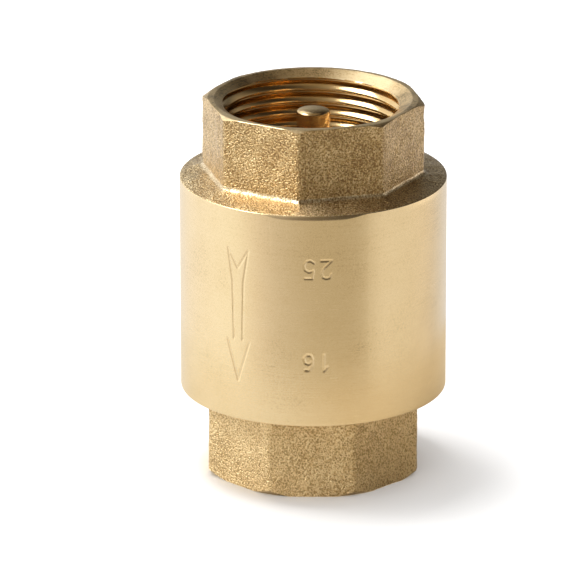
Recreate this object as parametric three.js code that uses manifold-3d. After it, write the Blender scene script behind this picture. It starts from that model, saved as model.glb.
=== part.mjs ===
// In-line spring check valve for a 1 inch pipe, closed, standing on its outlet end.
// Units are millimetres, +Z is up and the valve's own axis is the Z axis. Water flows down, from the
// inlet socket at the top to the outlet socket at the bottom.
//
// It comes apart into a body, a screwed-in end connector with its O-ring, two spider guides with plastic
// bushes, a conical spring on a seat washer, and a poppet: stem, retainer, seal, disc, lock washer and nut.

import * as THREE from "three";
import { mergeVertices } from "three/addons/utils/BufferGeometryUtils.js";
import Module from "manifold-3d";

const wasm = await Module();
wasm.setup();

// ---- Driving dimensions ----
const LENGTH = 68.5; // face to face
const BARREL_RADIUS = 23.75;
const BARREL_LOW = 15.2; // the barrel's lower face
const BARREL_HIGH = 54.2; // the barrel's upper edge
const INLET_FLATS = 36.8; // across the flats of the upper octagon
const OUTLET_FLATS = 37.2; // across the flats of the lower octagon
const INLET_TURN = THREE.MathUtils.degToRad(15); // the octagons stop where the screwed joint tightens
const OUTLET_TURN = THREE.MathUtils.degToRad(-0.8);
const INLET_RIM = 18.65; // radius of the turned end face inside its chamfer
const OUTLET_RIM = 19.2;
const CHAMFER_SLOPE = 0.5; // drop of the corner chamfer for each millimetre outwards
const CORNER_RADIUS = 1.2; // rounding of the octagons' corners
const STEM_RADIUS = 2.95;
const LIFT = 7.0; // travel of the poppet from closed to fully open

// G1 pipe thread, 55 degree form.
const THREAD_PITCH = 2.309;
const THREAD_MAJOR = 33.25 / 2;
const THREAD_MINOR = 30.3 / 2;
const THREAD_FLAT = 0.38; // width of the flat on each crest
const THREAD_LENGTH = 12.4; // from the countersink to the relief groove
const SOCKET_RELIEF = 16.85; // radius of the relief groove at the thread's end
const SOCKET_DEPTH = 15.1;
const COUNTERSINK_RADIUS = 17.6;
const COUNTERSINK_DEPTH = 1.25;

// Fits.
const FACE_GAP = 0.1; // between faces that bear on each other
const JOINT_GAP = 0.3; // around the screwed joint, whose own thread is left plain
const RUNNING_GAP = 0.1; // radial, stem in bush

// Stations along the axis.
const SEAT_FACE = 48.6;
const CHAMBER_CEILING = 50.8;
const INLET_SHELF = LENGTH - SOCKET_DEPTH;
const CHAMBER_FLOOR = 29.2; // the step that the outlet guide is clamped against
const CONNECTOR_TOP = 26.8;

// Radii inside the body.
const THROAT_RADIUS = 12.6;
const SEAT_LIP_RADIUS = 14.3;
const GUIDE_POCKET_RADIUS = 14.0;
const CHAMBER_RADIUS = 20.3;
const JOINT_BORE = 21.6;

const ROUND = 24; // facets on a full turn of the small pieces
const CASING_ROUND = 32; // and of the body, the end connector and the disc
const SPRING_STEPS = 16;
const OVERRUN = 1; // how far a cutter runs past the face that it cuts

// ---- Materials ----
const finish = (color, roughness, metalness) => new THREE.MeshStandardMaterial({ color, roughness, metalness });
const FORGED_BRASS = finish(0xb9985a, 0.5, 1);
const TURNED_BRASS = finish(0xd8b878, 0.25, 1);
const NITRILE = finish(0x1c1c1d, 0.7, 0);
const SPRING_STEEL = finish(0xb4b6b8, 0.3, 1);
const BUSH_PLASTIC = finish(0xe8e6df, 0.5, 0);

// ---- Solids ----

// A closed geometry as a solid that can be joined and cut.
function solid(geometry) {
  const bare = geometry.clone();
  bare.deleteAttribute("normal");
  bare.deleteAttribute("uv");
  const merged = mergeVertices(bare, 1e-4);
  return new wasm.Manifold(
    new wasm.Mesh({
      numProp: 3,
      vertProperties: merged.attributes.position.array,
      triVerts: new Uint32Array(merged.index.array),
    }),
  );
}

// A solid as a geometry again.
function geometryOf(manifold) {
  const { vertProperties, triVerts } = manifold.simplify(0.004).getMesh();
  const geometry = new THREE.BufferGeometry();
  geometry.setAttribute("position", new THREE.BufferAttribute(vertProperties, 3));
  geometry.setIndex(new THREE.BufferAttribute(triVerts, 1));
  geometry.computeVertexNormals();
  return geometry;
}

// A turned shape. The profile is a list of [radius, height] that runs anticlockwise round the material.
function turned(profile, segments = ROUND) {
  const closed = profile.every(([radius]) => radius > 0) ? [...profile, profile[0]] : profile;
  const points = closed.map(([radius, height]) => new THREE.Vector2(radius, height));
  return new THREE.LatheGeometry(points, segments).rotateX(Math.PI / 2);
}

// A flat ring or washer between two heights.
function ring(inner, outer, low, high, segments = ROUND) {
  return turned([[inner, low], [outer, low], [outer, high], [inner, high]], segments);
}

// A prism with rounded corners on `sides` flats. With no turn a flat faces +X.
function prism(sides, acrossFlats, cornerRadius, low, high, turn = 0) {
  const half = Math.PI / sides;
  const reach = (acrossFlats / 2 - cornerRadius) / Math.cos(half);
  const outline = new THREE.Shape();
  for (let k = 0; k < sides; k++) {
    const corner = (2 * k + 1) * half;
    const x = reach * Math.cos(corner);
    const y = reach * Math.sin(corner);
    outline.absarc(x, y, cornerRadius, corner - half, corner + half, false);
  }
  const options = { depth: high - low, bevelEnabled: false, curveSegments: 2 };
  return new THREE.ExtrudeGeometry(outline, options).rotateZ(turn).translate(0, 0, low);
}

// A bar that runs out from the axis.
function arm(inner, outer, width, low, high, angle) {
  return new THREE.BoxGeometry(outer - inner, width, high - low)
    .translate((inner + outer) / 2, 0, (low + high) / 2)
    .rotateZ(angle);
}

// A coil round the Z axis whose radius and height follow the turn number. A section swept along it
// keeps its x along the axis and its y pointing out.
class CoilPath extends THREE.Curve {
  constructor(turns, radiusAt, heightAt) {
    super();
    this.turns = turns;
    this.radiusAt = radiusAt;
    this.heightAt = heightAt;
    this.arcLengthDivisions = Math.ceil(turns * 60);
  }

  getPoint(t, target = new THREE.Vector3()) {
    const turn = this.turns * t;
    const angle = 2 * Math.PI * turn;
    const radius = this.radiusAt(turn);
    return target.set(radius * Math.cos(angle), radius * Math.sin(angle), this.heightAt(turn));
  }

  computeFrenetFrames(segments) {
    const points = this.getSpacedPoints(segments);
    return {
      tangents: points.map((_, i) => this.getTangentAt(i / segments)),
      normals: points.map(() => new THREE.Vector3(0, 0, 1)),
      binormals: points.map((p) => new THREE.Vector3(p.x, p.y, 0).normalize()),
    };
  }
}

// The groove that a tap leaves between two heights, as a right-handed coil of one groove section.
function threadGroove(low, high) {
  const depth = THREAD_MAJOR - THREAD_MINOR;
  const mouth = (THREAD_PITCH - THREAD_FLAT) / 2;
  const slope = mouth / depth;
  const section = new THREE.Shape([
    new THREE.Vector2(-mouth - 0.3 * slope, -0.3),
    new THREE.Vector2(mouth + 0.3 * slope, -0.3),
    new THREE.Vector2(0, depth),
  ]);
  const steps = Math.ceil(((high - low) / THREAD_PITCH) * CASING_ROUND);
  const turns = steps / CASING_ROUND;
  const path = new CoilPath(turns, () => THREAD_MINOR, (turn) => low + turn * THREAD_PITCH);
  return new THREE.ExtrudeGeometry(section, { steps, extrudePath: path, bevelEnabled: false });
}

// An octagon whose end face is turned to a circle with a chamfer over the corners.
function chamferedOctagon(acrossFlats, turn, rimRadius, faceHeight, rootHeight) {
  const inwards = Math.sign(rootHeight - faceHeight);
  const reach = 40; // beyond the corners, and deep enough for the whole octagon
  const cone = [
    [0, faceHeight],
    [rimRadius, faceHeight],
    [rimRadius + reach, faceHeight + inwards * reach * CHAMFER_SLOPE],
    [0, faceHeight + inwards * reach * CHAMFER_SLOPE],
  ];
  const envelope = solid(turned(inwards > 0 ? cone : cone.reverse(), CASING_ROUND));
  const low = Math.min(faceHeight, rootHeight);
  const high = Math.max(faceHeight, rootHeight);
  return solid(prism(8, acrossFlats, CORNER_RADIUS, low, high, turn)).intersect(envelope);
}

// ---- Casing ----

function bodyGeometry() {
  const shoulderRoot = BARREL_HIGH + 1.0;
  const edge = 0.25;
  const barrel = solid(turned([
    [0, BARREL_LOW],
    [BARREL_RADIUS - edge, BARREL_LOW],
    [BARREL_RADIUS, BARREL_LOW + edge],
    [BARREL_RADIUS, BARREL_HIGH - edge],
    [BARREL_RADIUS - edge, BARREL_HIGH],
    [INLET_FLATS / 2 + 1.4, shoulderRoot],
    [INLET_FLATS / 2 - 1, shoulderRoot + 0.4],
    [0, shoulderRoot + 0.4],
  ], CASING_ROUND));
  const socket = chamferedOctagon(INLET_FLATS, INLET_TURN, INLET_RIM, LENGTH, BARREL_HIGH);
  const slope = (COUNTERSINK_RADIUS - THREAD_MINOR) / COUNTERSINK_DEPTH;
  const threadEnd = LENGTH - COUNTERSINK_DEPTH - THREAD_LENGTH;
  const passage = solid(turned([
    [0, BARREL_LOW - OVERRUN],
    [JOINT_BORE + 0.2, BARREL_LOW - OVERRUN],
    [JOINT_BORE + 0.2, CHAMBER_FLOOR - 5.4],
    [JOINT_BORE, CHAMBER_FLOOR - 5.2],
    [JOINT_BORE, CHAMBER_FLOOR],
    [CHAMBER_RADIUS, CHAMBER_FLOOR],
    [CHAMBER_RADIUS, CHAMBER_CEILING - 1.4],
    [CHAMBER_RADIUS - 1.4, CHAMBER_CEILING],
    [SEAT_LIP_RADIUS + 0.8, CHAMBER_CEILING],
    [SEAT_LIP_RADIUS, SEAT_FACE],
    [THROAT_RADIUS, SEAT_FACE],
    [THROAT_RADIUS, INLET_SHELF - 3],
    [GUIDE_POCKET_RADIUS, INLET_SHELF - 3],
    [GUIDE_POCKET_RADIUS, INLET_SHELF],
    [SOCKET_RELIEF, INLET_SHELF],
    [SOCKET_RELIEF, threadEnd],
    [THREAD_MINOR, threadEnd],
    [THREAD_MINOR, LENGTH - COUNTERSINK_DEPTH],
    [COUNTERSINK_RADIUS + slope * OVERRUN, LENGTH + OVERRUN],
    [0, LENGTH + OVERRUN],
  ], CASING_ROUND));
  const groove = solid(threadGroove(threadEnd - 0.3, LENGTH + 0.6));
  return geometryOf(barrel.add(socket).subtract(passage).subtract(groove));
}

function endConnectorGeometry() {
  const shank = JOINT_BORE + 0.2 - JOINT_GAP;
  const plug = JOINT_BORE - JOINT_GAP;
  const grooveLow = 23.9;
  const grooveHigh = 26.0;
  const grooveRadius = 19.5;
  const tapEnd = COUNTERSINK_DEPTH + THREAD_LENGTH;
  const slope = (COUNTERSINK_RADIUS - THREAD_MINOR) / COUNTERSINK_DEPTH;
  const screwedEnd = solid(turned([
    [0, BARREL_LOW + 0.2],
    [shank - 0.6, BARREL_LOW + 0.2],
    [shank, BARREL_LOW + 0.8],
    [shank, 23.2],
    [plug, 23.2],
    [plug, grooveLow],
    [grooveRadius, grooveLow],
    [grooveRadius, grooveHigh],
    [plug, grooveHigh],
    [plug, CONNECTOR_TOP],
    [0, CONNECTOR_TOP],
  ], CASING_ROUND));
  const socket = chamferedOctagon(OUTLET_FLATS, OUTLET_TURN, OUTLET_RIM, 0, BARREL_LOW + 1);
  const passage = solid(turned([
    [0, -OVERRUN],
    [COUNTERSINK_RADIUS + slope * OVERRUN, -OVERRUN],
    [THREAD_MINOR, COUNTERSINK_DEPTH],
    [THREAD_MINOR, tapEnd],
    [SOCKET_RELIEF, tapEnd],
    [SOCKET_RELIEF, SOCKET_DEPTH],
    [14.2, SOCKET_DEPTH],
    [14.2, 17.2],
    [17.6, 22.6],
    [17.6, CONNECTOR_TOP + OVERRUN],
    [0, CONNECTOR_TOP + OVERRUN],
  ], CASING_ROUND));
  const groove = solid(threadGroove(-0.6, tapEnd + 0.3));
  return geometryOf(screwedEnd.add(socket).subtract(passage).subtract(groove));
}

function bodyORingGeometry() {
  const section = 0.85;
  const centre = 20.62;
  const height = 24.95;
  const sides = 8;
  const profile = Array.from({ length: sides }, (_, k) => {
    const angle = (2 * Math.PI * k) / sides;
    return [centre + section * Math.cos(angle), height + section * Math.sin(angle)];
  });
  return turned(profile, CASING_ROUND);
}

// ---- Guides ----

// A spider: a rim, three arms and a hub bored for its bush.
function spider(rim, arms, hub) {
  let body = solid(ring(...rim)).add(solid(ring(0.5, ...hub)));
  for (let k = 0; k < 3; k++) {
    for (const [outer, width, low, high] of arms) {
      body = body.add(solid(arm(2, outer, width, low, high, (k * 2 * Math.PI) / 3 + 0.5)));
    }
  }
  return body;
}

const BUSH_OUTER = 4.1;
const HUB_RADIUS = 5.2;
const INLET_HUB_LOW = 52.0;
const INLET_HUB_HIGH = 58.6;
const OUTLET_HUB_LOW = 21.5;
const OUTLET_HUB_HIGH = 30.6;
const FLANGE_THICKNESS = 0.7;

function inletGuideGeometry() {
  const rimLow = INLET_SHELF - 3 + FACE_GAP;
  const rimHigh = INLET_SHELF - 0.1;
  const rim = [THROAT_RADIUS - 0.2, GUIDE_POCKET_RADIUS - RUNNING_GAP, rimLow, rimHigh];
  const arms = [[13.1, 2.4, rimLow + 0.9, rimHigh], [8.6, 2.4, rimLow + 1.5, rimHigh + 1.9]];
  const bore = turned([
    [0, INLET_HUB_LOW - OVERRUN * 3],
    [BUSH_OUTER, INLET_HUB_LOW - OVERRUN * 3],
    [BUSH_OUTER, INLET_HUB_HIGH + OVERRUN],
    [0, INLET_HUB_HIGH + OVERRUN],
  ]);
  return geometryOf(spider(rim, arms, [HUB_RADIUS, INLET_HUB_LOW, INLET_HUB_HIGH]).subtract(solid(bore)));
}

function outletGuideGeometry() {
  const rimLow = CONNECTOR_TOP + FACE_GAP;
  const rimHigh = CHAMBER_FLOOR - FACE_GAP;
  const rim = [17.9, JOINT_BORE - JOINT_GAP, rimLow, rimHigh];
  const arms = [[18.8, 2.8, rimLow, rimHigh], [17.2, 2.8, rimLow - 2.2, rimHigh]];
  const bore = turned([
    [0, OUTLET_HUB_LOW - OVERRUN],
    [BUSH_OUTER, OUTLET_HUB_LOW - OVERRUN],
    [BUSH_OUTER, OUTLET_HUB_HIGH + OVERRUN],
    [0, OUTLET_HUB_HIGH + OVERRUN],
  ]);
  return geometryOf(spider(rim, arms, [HUB_RADIUS, OUTLET_HUB_LOW, OUTLET_HUB_HIGH]).subtract(solid(bore)));
}

// A flanged plastic sleeve between two heights. The flange is at the end that `flangeUp` says.
function bushGeometry(low, high, flangeUp) {
  const inner = STEM_RADIUS + RUNNING_GAP;
  const outer = BUSH_OUTER - FACE_GAP;
  const flange = HUB_RADIUS - 0.4;
  if (flangeUp) {
    const lip = high + FACE_GAP;
    return turned([
      [inner, low],
      [outer, low],
      [outer, lip],
      [flange, lip],
      [flange, lip + FLANGE_THICKNESS],
      [inner, lip + FLANGE_THICKNESS],
    ]);
  }
  const lip = low - FACE_GAP;
  return turned([
    [inner, lip - FLANGE_THICKNESS],
    [flange, lip - FLANGE_THICKNESS],
    [flange, lip],
    [outer, lip],
    [outer, high],
    [inner, high],
  ]);
}

// ---- Poppet, drawn closed ----

const SEAL_TOP = SEAT_FACE - FACE_GAP;
const SEAL_THICKNESS = 2.1;
const DISC_TOP = SEAL_TOP - SEAL_THICKNESS - FACE_GAP;
const DISC_BOTTOM = DISC_TOP - 2.5;
const WASHER_BOTTOM = DISC_BOTTOM - FACE_GAP - 0.9;
const NUT_TOP = WASHER_BOTTOM - FACE_GAP;
const NUT_BOTTOM = OUTLET_HUB_HIGH + LIFT + 0.15; // it meets the outlet hub when the valve is fully open
const RETAINER_TOP = SEAL_TOP + FACE_GAP + 1.1;
const STACK_BORE = STEM_RADIUS + FACE_GAP;

function stemGeometry() {
  const foot = 20.6;
  const crown = 66.75;
  const collar = 5.0;
  const collarLow = RETAINER_TOP + FACE_GAP;
  return turned([
    [0, foot],
    [STEM_RADIUS - 0.6, foot],
    [STEM_RADIUS, foot + 0.6],
    [STEM_RADIUS, collarLow],
    [collar, collarLow],
    [collar, collarLow + 1.2],
    [collar - 0.5, collarLow + 1.6],
    [STEM_RADIUS, collarLow + 1.6],
    [STEM_RADIUS, crown - 1.0],
    [STEM_RADIUS - 0.25, crown - 0.55],
    [STEM_RADIUS - 0.95, crown - 0.2],
    [STEM_RADIUS - 1.9, crown - 0.05],
    [0, crown],
  ]);
}

function sealRetainerGeometry() {
  return turned([
    [STACK_BORE, SEAL_TOP + FACE_GAP],
    [10.6, SEAL_TOP + FACE_GAP],
    [11.2, SEAL_TOP + FACE_GAP + 0.5],
    [10.4, RETAINER_TOP],
    [STACK_BORE, RETAINER_TOP],
  ]);
}

function discSealGeometry() {
  return ring(STACK_BORE, 15.0, SEAL_TOP - SEAL_THICKNESS, SEAL_TOP);
}

function discGeometry() {
  return turned([
    [STACK_BORE, DISC_BOTTOM],
    [14.6, DISC_BOTTOM],
    [16.2, DISC_BOTTOM + 1.6],
    [16.2, DISC_TOP + 1.2],
    [15.2, DISC_TOP + 1.2],
    [15.2, DISC_TOP],
    [STACK_BORE, DISC_TOP],
  ]);
}

function lockWasherGeometry() {
  return ring(STACK_BORE, 5.4, WASHER_BOTTOM, WASHER_BOTTOM + 0.9);
}

function discNutGeometry() {
  const blank = solid(prism(6, 10, 0.3, NUT_BOTTOM, NUT_TOP));
  const bore = turned([
    [0, NUT_BOTTOM - OVERRUN],
    [STACK_BORE, NUT_BOTTOM - OVERRUN],
    [STACK_BORE, NUT_TOP + OVERRUN],
    [0, NUT_TOP + OVERRUN],
  ]);
  return geometryOf(blank.subtract(solid(bore)));
}

// ---- Spring ----

const SPRING_SEAT_TOP = CHAMBER_FLOOR + 0.6;

function springSeatGeometry() {
  return ring(HUB_RADIUS + 0.2, 9.6, CHAMBER_FLOOR, SPRING_SEAT_TOP);
}

// Conical compression spring with a closed coil at each end.
function springGeometry() {
  const wire = 0.4;
  const low = SPRING_SEAT_TOP + FACE_GAP + wire;
  const high = DISC_BOTTOM - FACE_GAP - wire;
  const turns = 5.5;
  const closedRise = 2 * wire + 0.08;
  const openRise = (high - low - 2 * closedRise) / (turns - 2);
  const radiusAt = (turn) => THREE.MathUtils.lerp(8.7, 7.2, turn / turns);
  const heightAt = (turn) => {
    const lowCoil = Math.min(turn, 1) * closedRise;
    const openCoils = THREE.MathUtils.clamp(turn - 1, 0, turns - 2) * openRise;
    const highCoil = Math.max(turn - (turns - 1), 0) * closedRise;
    return low + lowCoil + openCoils + highCoil;
  };
  const section = new THREE.Shape();
  section.absarc(0, 0, wire, 0, 2 * Math.PI, false);
  return new THREE.ExtrudeGeometry(section, {
    steps: Math.round(turns * SPRING_STEPS),
    curveSegments: 4,
    extrudePath: new CoilPath(turns, radiusAt, heightAt),
    bevelEnabled: false,
  });
}

// ---- Assembly ----

function named(name, geometry, material) {
  const mesh = new THREE.Mesh(geometry, material);
  mesh.name = name;
  return mesh;
}

const casing = new THREE.Group();
casing.add(
  named("body", bodyGeometry(), FORGED_BRASS),
  named("end_connector", endConnectorGeometry(), FORGED_BRASS),
  named("body_o_ring", bodyORingGeometry(), NITRILE),
  named("inlet_guide", inletGuideGeometry(), TURNED_BRASS),
  named("inlet_guide_bush", bushGeometry(INLET_HUB_LOW, INLET_HUB_HIGH, true), BUSH_PLASTIC),
  named("outlet_guide", outletGuideGeometry(), TURNED_BRASS),
  named("outlet_guide_bush", bushGeometry(OUTLET_HUB_LOW, OUTLET_HUB_HIGH, false), BUSH_PLASTIC),
  named("spring_seat", springSeatGeometry(), SPRING_STEEL),
  named("spring", springGeometry(), SPRING_STEEL),
);

const poppet = new THREE.Group();
poppet.add(
  named("stem", stemGeometry(), TURNED_BRASS),
  named("seal_retainer", sealRetainerGeometry(), TURNED_BRASS),
  named("disc_seal", discSealGeometry(), NITRILE),
  named("disc", discGeometry(), TURNED_BRASS),
  named("lock_washer", lockWasherGeometry(), SPRING_STEEL),
  named("disc_nut", discNutGeometry(), TURNED_BRASS),
);

const checkValve = new THREE.Group();
checkValve.add(casing, poppet);

export default checkValve;
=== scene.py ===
"""Visual model of an in-line brass spring check valve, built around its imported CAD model.

Shapes are written in millimetres in the CAD's own frame and scaled to metres where a mesh is made. Its axis
is Z and the viewer is on its -Y side. Scenery, lights and the camera are in metres."""

import math

import bmesh
import bpy
import numpy as np
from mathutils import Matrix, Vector


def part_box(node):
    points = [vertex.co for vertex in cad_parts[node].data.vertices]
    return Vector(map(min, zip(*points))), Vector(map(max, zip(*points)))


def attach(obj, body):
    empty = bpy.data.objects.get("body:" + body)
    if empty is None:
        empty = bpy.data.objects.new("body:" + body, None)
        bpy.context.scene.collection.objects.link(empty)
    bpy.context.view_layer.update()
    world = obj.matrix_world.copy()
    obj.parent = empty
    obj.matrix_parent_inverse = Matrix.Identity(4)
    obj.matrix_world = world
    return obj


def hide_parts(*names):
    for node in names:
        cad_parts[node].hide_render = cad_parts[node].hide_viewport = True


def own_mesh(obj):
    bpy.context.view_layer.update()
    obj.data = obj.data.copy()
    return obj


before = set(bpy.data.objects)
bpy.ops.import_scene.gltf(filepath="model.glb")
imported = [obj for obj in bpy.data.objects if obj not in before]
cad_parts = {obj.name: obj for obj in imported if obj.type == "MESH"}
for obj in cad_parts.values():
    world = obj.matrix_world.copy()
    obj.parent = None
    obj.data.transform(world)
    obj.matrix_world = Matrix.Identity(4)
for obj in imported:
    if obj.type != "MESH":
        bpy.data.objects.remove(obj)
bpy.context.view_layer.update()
MM = 0.001
TAU = 2 * math.pi

# ---- Sizes in millimetres ----

# Outside.
BARREL_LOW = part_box("body")[0].z / MM
BARREL_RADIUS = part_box("body")[1].x / MM
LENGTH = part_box("body")[1].z / MM
BARREL_HIGH = 54.2
INLET_FLATS, OUTLET_FLATS = 36.8, 37.2  # across the octagons' flats
INLET_TURN, OUTLET_TURN = math.radians(15), math.radians(-0.8)  # how far each octagon is turned round the axis
CORNER_RADIUS = 1.3  # rounding of the octagons' corners
INLET_RIM, OUTLET_RIM = 18.65, 18.9  # radius of the end faces inside the corner chamfers
INLET_SLOPE, OUTLET_SLOPE = 0.5, 0.95  # drop of the chamfers for each millimetre outwards
CHAMFER_OFFSET = 0.4  # how far the inlet's chamfer was turned off the octagon's axis
CHAMFER_SIDE = -7.5  # the side it is offset to, in degrees from the viewer's side
FACE_RADII = (17.7, 18.1)  # rings of the flat end faces
CONNECTOR_OCTAGON_TOP = 15.4

# Sockets.
PITCH, THREAD_MINOR, THREAD_MAJOR = 2.309, 15.15, 16.62  # pipe thread, by radius
SINK_RADIUS, SINK_DEPTH = 17.6, 1.25  # countersink
SOCKET_DEPTH = 15.1
THREAD_STOP = SOCKET_DEPTH - 1.4
RELIEF_RADIUS = 16.85  # the groove behind the thread
RELIEF_STEP = 0.2  # from the groove in to the socket's floor

# Inside the body.
THROAT_RADIUS, GUIDE_POCKET_RADIUS, SEAT_LIP_RADIUS, CHAMBER_RADIUS, JOINT_BORE = 12.6, 14.0, 14.3, 20.3, 21.6
SEAT_FACE, CHAMBER_CEILING, CHAMBER_FLOOR = 48.6, 50.8, 29.2
CONNECTOR_TOP = 26.8
FACE_GAP = 0.1  # between faces that bear on each other
STEM_RADIUS, STACK_BORE = 2.95, 3.05  # the stem, and the bore of all that is on it
HUB_BORE = 4.1  # the guides' hubs, round the bushes


# ---- Noise that moves vertices, made from fixed seeds ----

class Ripples:
    """A sum of plane waves: a smooth random field in space with a given wavelength range."""

    def __init__(self, seed, shortest, longest, count):
        rng = np.random.default_rng(seed)
        direction = rng.normal(size=(count, 3))
        direction /= np.linalg.norm(direction, axis=1)[:, None]
        wavelength = np.exp(rng.uniform(math.log(shortest), math.log(longest), count))
        self.k = direction * (TAU / wavelength)[:, None]
        self.phase = rng.uniform(0, TAU, count)
        self.scale = math.sqrt(2 / count)

    def __call__(self, x, y, z):
        total = np.zeros(np.broadcast(x, y, z).shape)
        for (kx, ky, kz), phase in zip(self.k, self.phase):
            total += np.sin(kx * x + ky * y + kz * z + phase)
        return total * self.scale


WAVES = Ripples(11, 3.0, 12.0, 40)
GRAIN = Ripples(12, 0.7, 1.6, 60)


def forged_rise(radius, angles, height):
    """How far a forged skin stands proud at a place."""
    x, y = radius * np.cos(angles), radius * np.sin(angles)
    return 0.05 * WAVES(x, y, height) + 0.022 * GRAIN(x, y, height)


def forged_wall(radius, angles, height):
    """A forged wall's radius."""
    return radius + forged_rise(radius, angles, height)


# ---- Mesh building ----

# Places of the materials on the body and the end connector. Other pieces have only a first material.
FORGED_SKIN, BARREL_SKIN, MACHINED_SKIN, THREAD_SKIN, FILLET_PAINTED_HIGHLIGHT_SKIN, SHOULDER_PAINTED_LIGHT_SKIN = range(6)
COIL_ROWS = 21  # rows of the thread's mesh in a pitch
COIL_COLUMNS = 252
ROUND_COLUMNS = 128


def around(count):
    """Evenly spaced angles of a full turn."""
    return np.arange(count) * TAU / count


class Shell:
    """A skin made of rings round the Z axis. A ring is a pair of vertex numbers and angles."""

    def __init__(self):
        self.points = []
        self.faces = []
        self.face_material = []
        self.count = 0
        self.first = None
        self.last = None

    def add_ring(self, angles, radius, height):
        radius = np.broadcast_to(np.asarray(radius, float), angles.shape)
        height = np.broadcast_to(np.asarray(height, float), angles.shape)
        start = self.count
        self.points.append(np.stack([radius * np.cos(angles), radius * np.sin(angles), height], 1))
        self.count += len(angles)
        return np.arange(start, self.count), angles

    def height_of(self, vertex):
        return np.concatenate(self.points)[vertex, 2]

    def add_face(self, face, material):
        self.faces.append([int(vertex) for vertex in face])
        self.face_material.append(material)

    def join(self, lower, upper, material):
        """Faces between two rings: quads where their angles are the same, otherwise triangles."""
        (a, angle_a), (b, angle_b) = lower, upper
        if len(a) == len(b) and np.allclose(angle_a, angle_b):
            for face in zip(a, np.roll(a, -1), np.roll(b, -1), b):
                self.add_face(face, material)
            return
        i = j = 0
        while i < len(a) or j < len(b):
            next_a = angle_a[i + 1] if i + 1 < len(a) else angle_a[0] + TAU
            next_b = angle_b[j + 1] if j + 1 < len(b) else angle_b[0] + TAU
            if j >= len(b) or (i < len(a) and next_a <= next_b):
                self.add_face((a[i], a[(i + 1) % len(a)], b[j % len(b)]), material)
                i += 1
            else:
                self.add_face((a[i % len(a)], b[(j + 1) % len(b)], b[j]), material)
                j += 1

    def rings(self, angles, rows, material):
        """Adds rows of (radius, height) on one set of angles, joined to whatever came before."""
        for radius, height in rows:
            ring = self.add_ring(angles, radius, height)
            if self.last is None:
                self.first = ring
            else:
                self.join(self.last, ring, material)
            self.last = ring

    def coil(self, angles, stop, radius_at, cone_at):
        """A tapped wall from the last ring to a flat ring at the height `stop`.

        Its rows run along the thread. Faces that lie on the countersink's cone are machined skin."""
        upper, _ = self.last
        begin = self.height_of(upper[0])
        depth = abs(stop - begin)
        way = math.copysign(1, stop - begin)
        lower = self.add_ring(angles, radius_at(angles, np.full(angles.shape, stop)), stop)
        step = PITCH / COIL_ROWS
        margin = 0.3 * step  # rows this close to an end are left out
        rows = np.arange(-COIL_ROWS, math.ceil(depth / step) + 2 * COIL_ROWS)
        columns = []
        on_cone = {}
        for column, angle in enumerate(angles):
            heights = begin + way * rows * step + PITCH * angle / TAU
            past = (heights - begin) * way
            free = (past > margin) & (past < depth - margin)
            index = np.where(past <= margin, upper[column], lower[0][column])
            index[free] = np.arange(self.count, self.count + free.sum())
            radius = radius_at(np.full(free.sum(), angle), heights[free])
            place = [radius * math.cos(angle), radius * math.sin(angle), heights[free]]
            self.points.append(np.stack(place, 1))
            self.count += int(free.sum())
            on_cone.update(zip(index[free].tolist(), radius <= cone_at(heights[free]) + 1e-6))
            columns.append(index)
        turn = int(way * COIL_ROWS)  # the rows that the thread climbs in a full turn
        columns.append(np.roll(columns[0], -turn))
        ends = set(upper.tolist()) | set(lower[0].tolist())
        for a, b in zip(columns[:-1], columns[1:]):
            for row in range(max(0, -turn), len(rows) - 1 - max(0, turn)):
                corners = (int(a[row]), int(b[row]), int(b[row + 1]), int(a[row + 1]))
                face = list(dict.fromkeys(corners))
                if len(face) > 2:
                    plain = all(vertex in ends or on_cone[vertex] for vertex in face)
                    self.add_face(face, MACHINED_SKIN if plain else THREAD_SKIN)
        self.last = lower

    def close(self, material):
        self.join(self.last, self.first, material)

    def cap(self, ring, material, flip=False):
        """Closes a ring with a fan to a point on the axis."""
        indices, _ = ring
        centre = self.count
        self.points.append(np.array([[0, 0, self.height_of(indices[0])]]))
        self.count += 1
        for p, q in zip(indices, np.roll(indices, -1)):
            self.add_face((p, centre, q) if flip else (p, q, centre), material)

    def build(self, name, materials):
        return build_mesh(name, np.concatenate(self.points), self.faces, materials, self.face_material)


def build_mesh(name, points_mm, faces, materials, face_material=None, sharp=35):
    """An object in the scene, smooth but for edges over the given angle in degrees."""
    mesh = bpy.data.meshes.new(name)
    mesh.from_pydata((np.asarray(points_mm) * MM).tolist(), [], faces)
    for material in materials:
        mesh.materials.append(material)
    if face_material is not None:
        mesh.polygons.foreach_set("material_index", np.asarray(face_material, np.int32))
    mesh.polygons.foreach_set("use_smooth", np.ones(len(mesh.polygons), bool))
    mesh.validate()
    mesh.set_sharp_from_angle(angle=math.radians(sharp))
    mesh.update()
    obj = bpy.data.objects.new(name, mesh)
    bpy.context.scene.collection.objects.link(obj)
    return obj


def rounded(profile, radii, steps=4):
    """Rounds the corners of a closed (radius, height) profile, with a radius for each point, 0 to keep it."""
    points = [np.array(p, float) for p in profile]
    out = []
    for i, p in enumerate(points):
        if radii[i] <= 0:
            out.append(tuple(p))
            continue
        a = points[i - 1] - p
        b = points[(i + 1) % len(points)] - p
        length_a, length_b = np.linalg.norm(a), np.linalg.norm(b)
        a, b = a / length_a, b / length_b
        angle = math.acos(max(-1, min(1, float(a @ b))))
        back = min(radii[i] / math.tan(angle / 2), 0.45 * length_a, 0.45 * length_b)
        start, end = p + a * back, p + b * back
        for t in np.linspace(0, 1, steps + 1):
            out.append(tuple((1 - t) ** 2 * start + 2 * t * (1 - t) * p + t * t * end))
    return out


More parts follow.
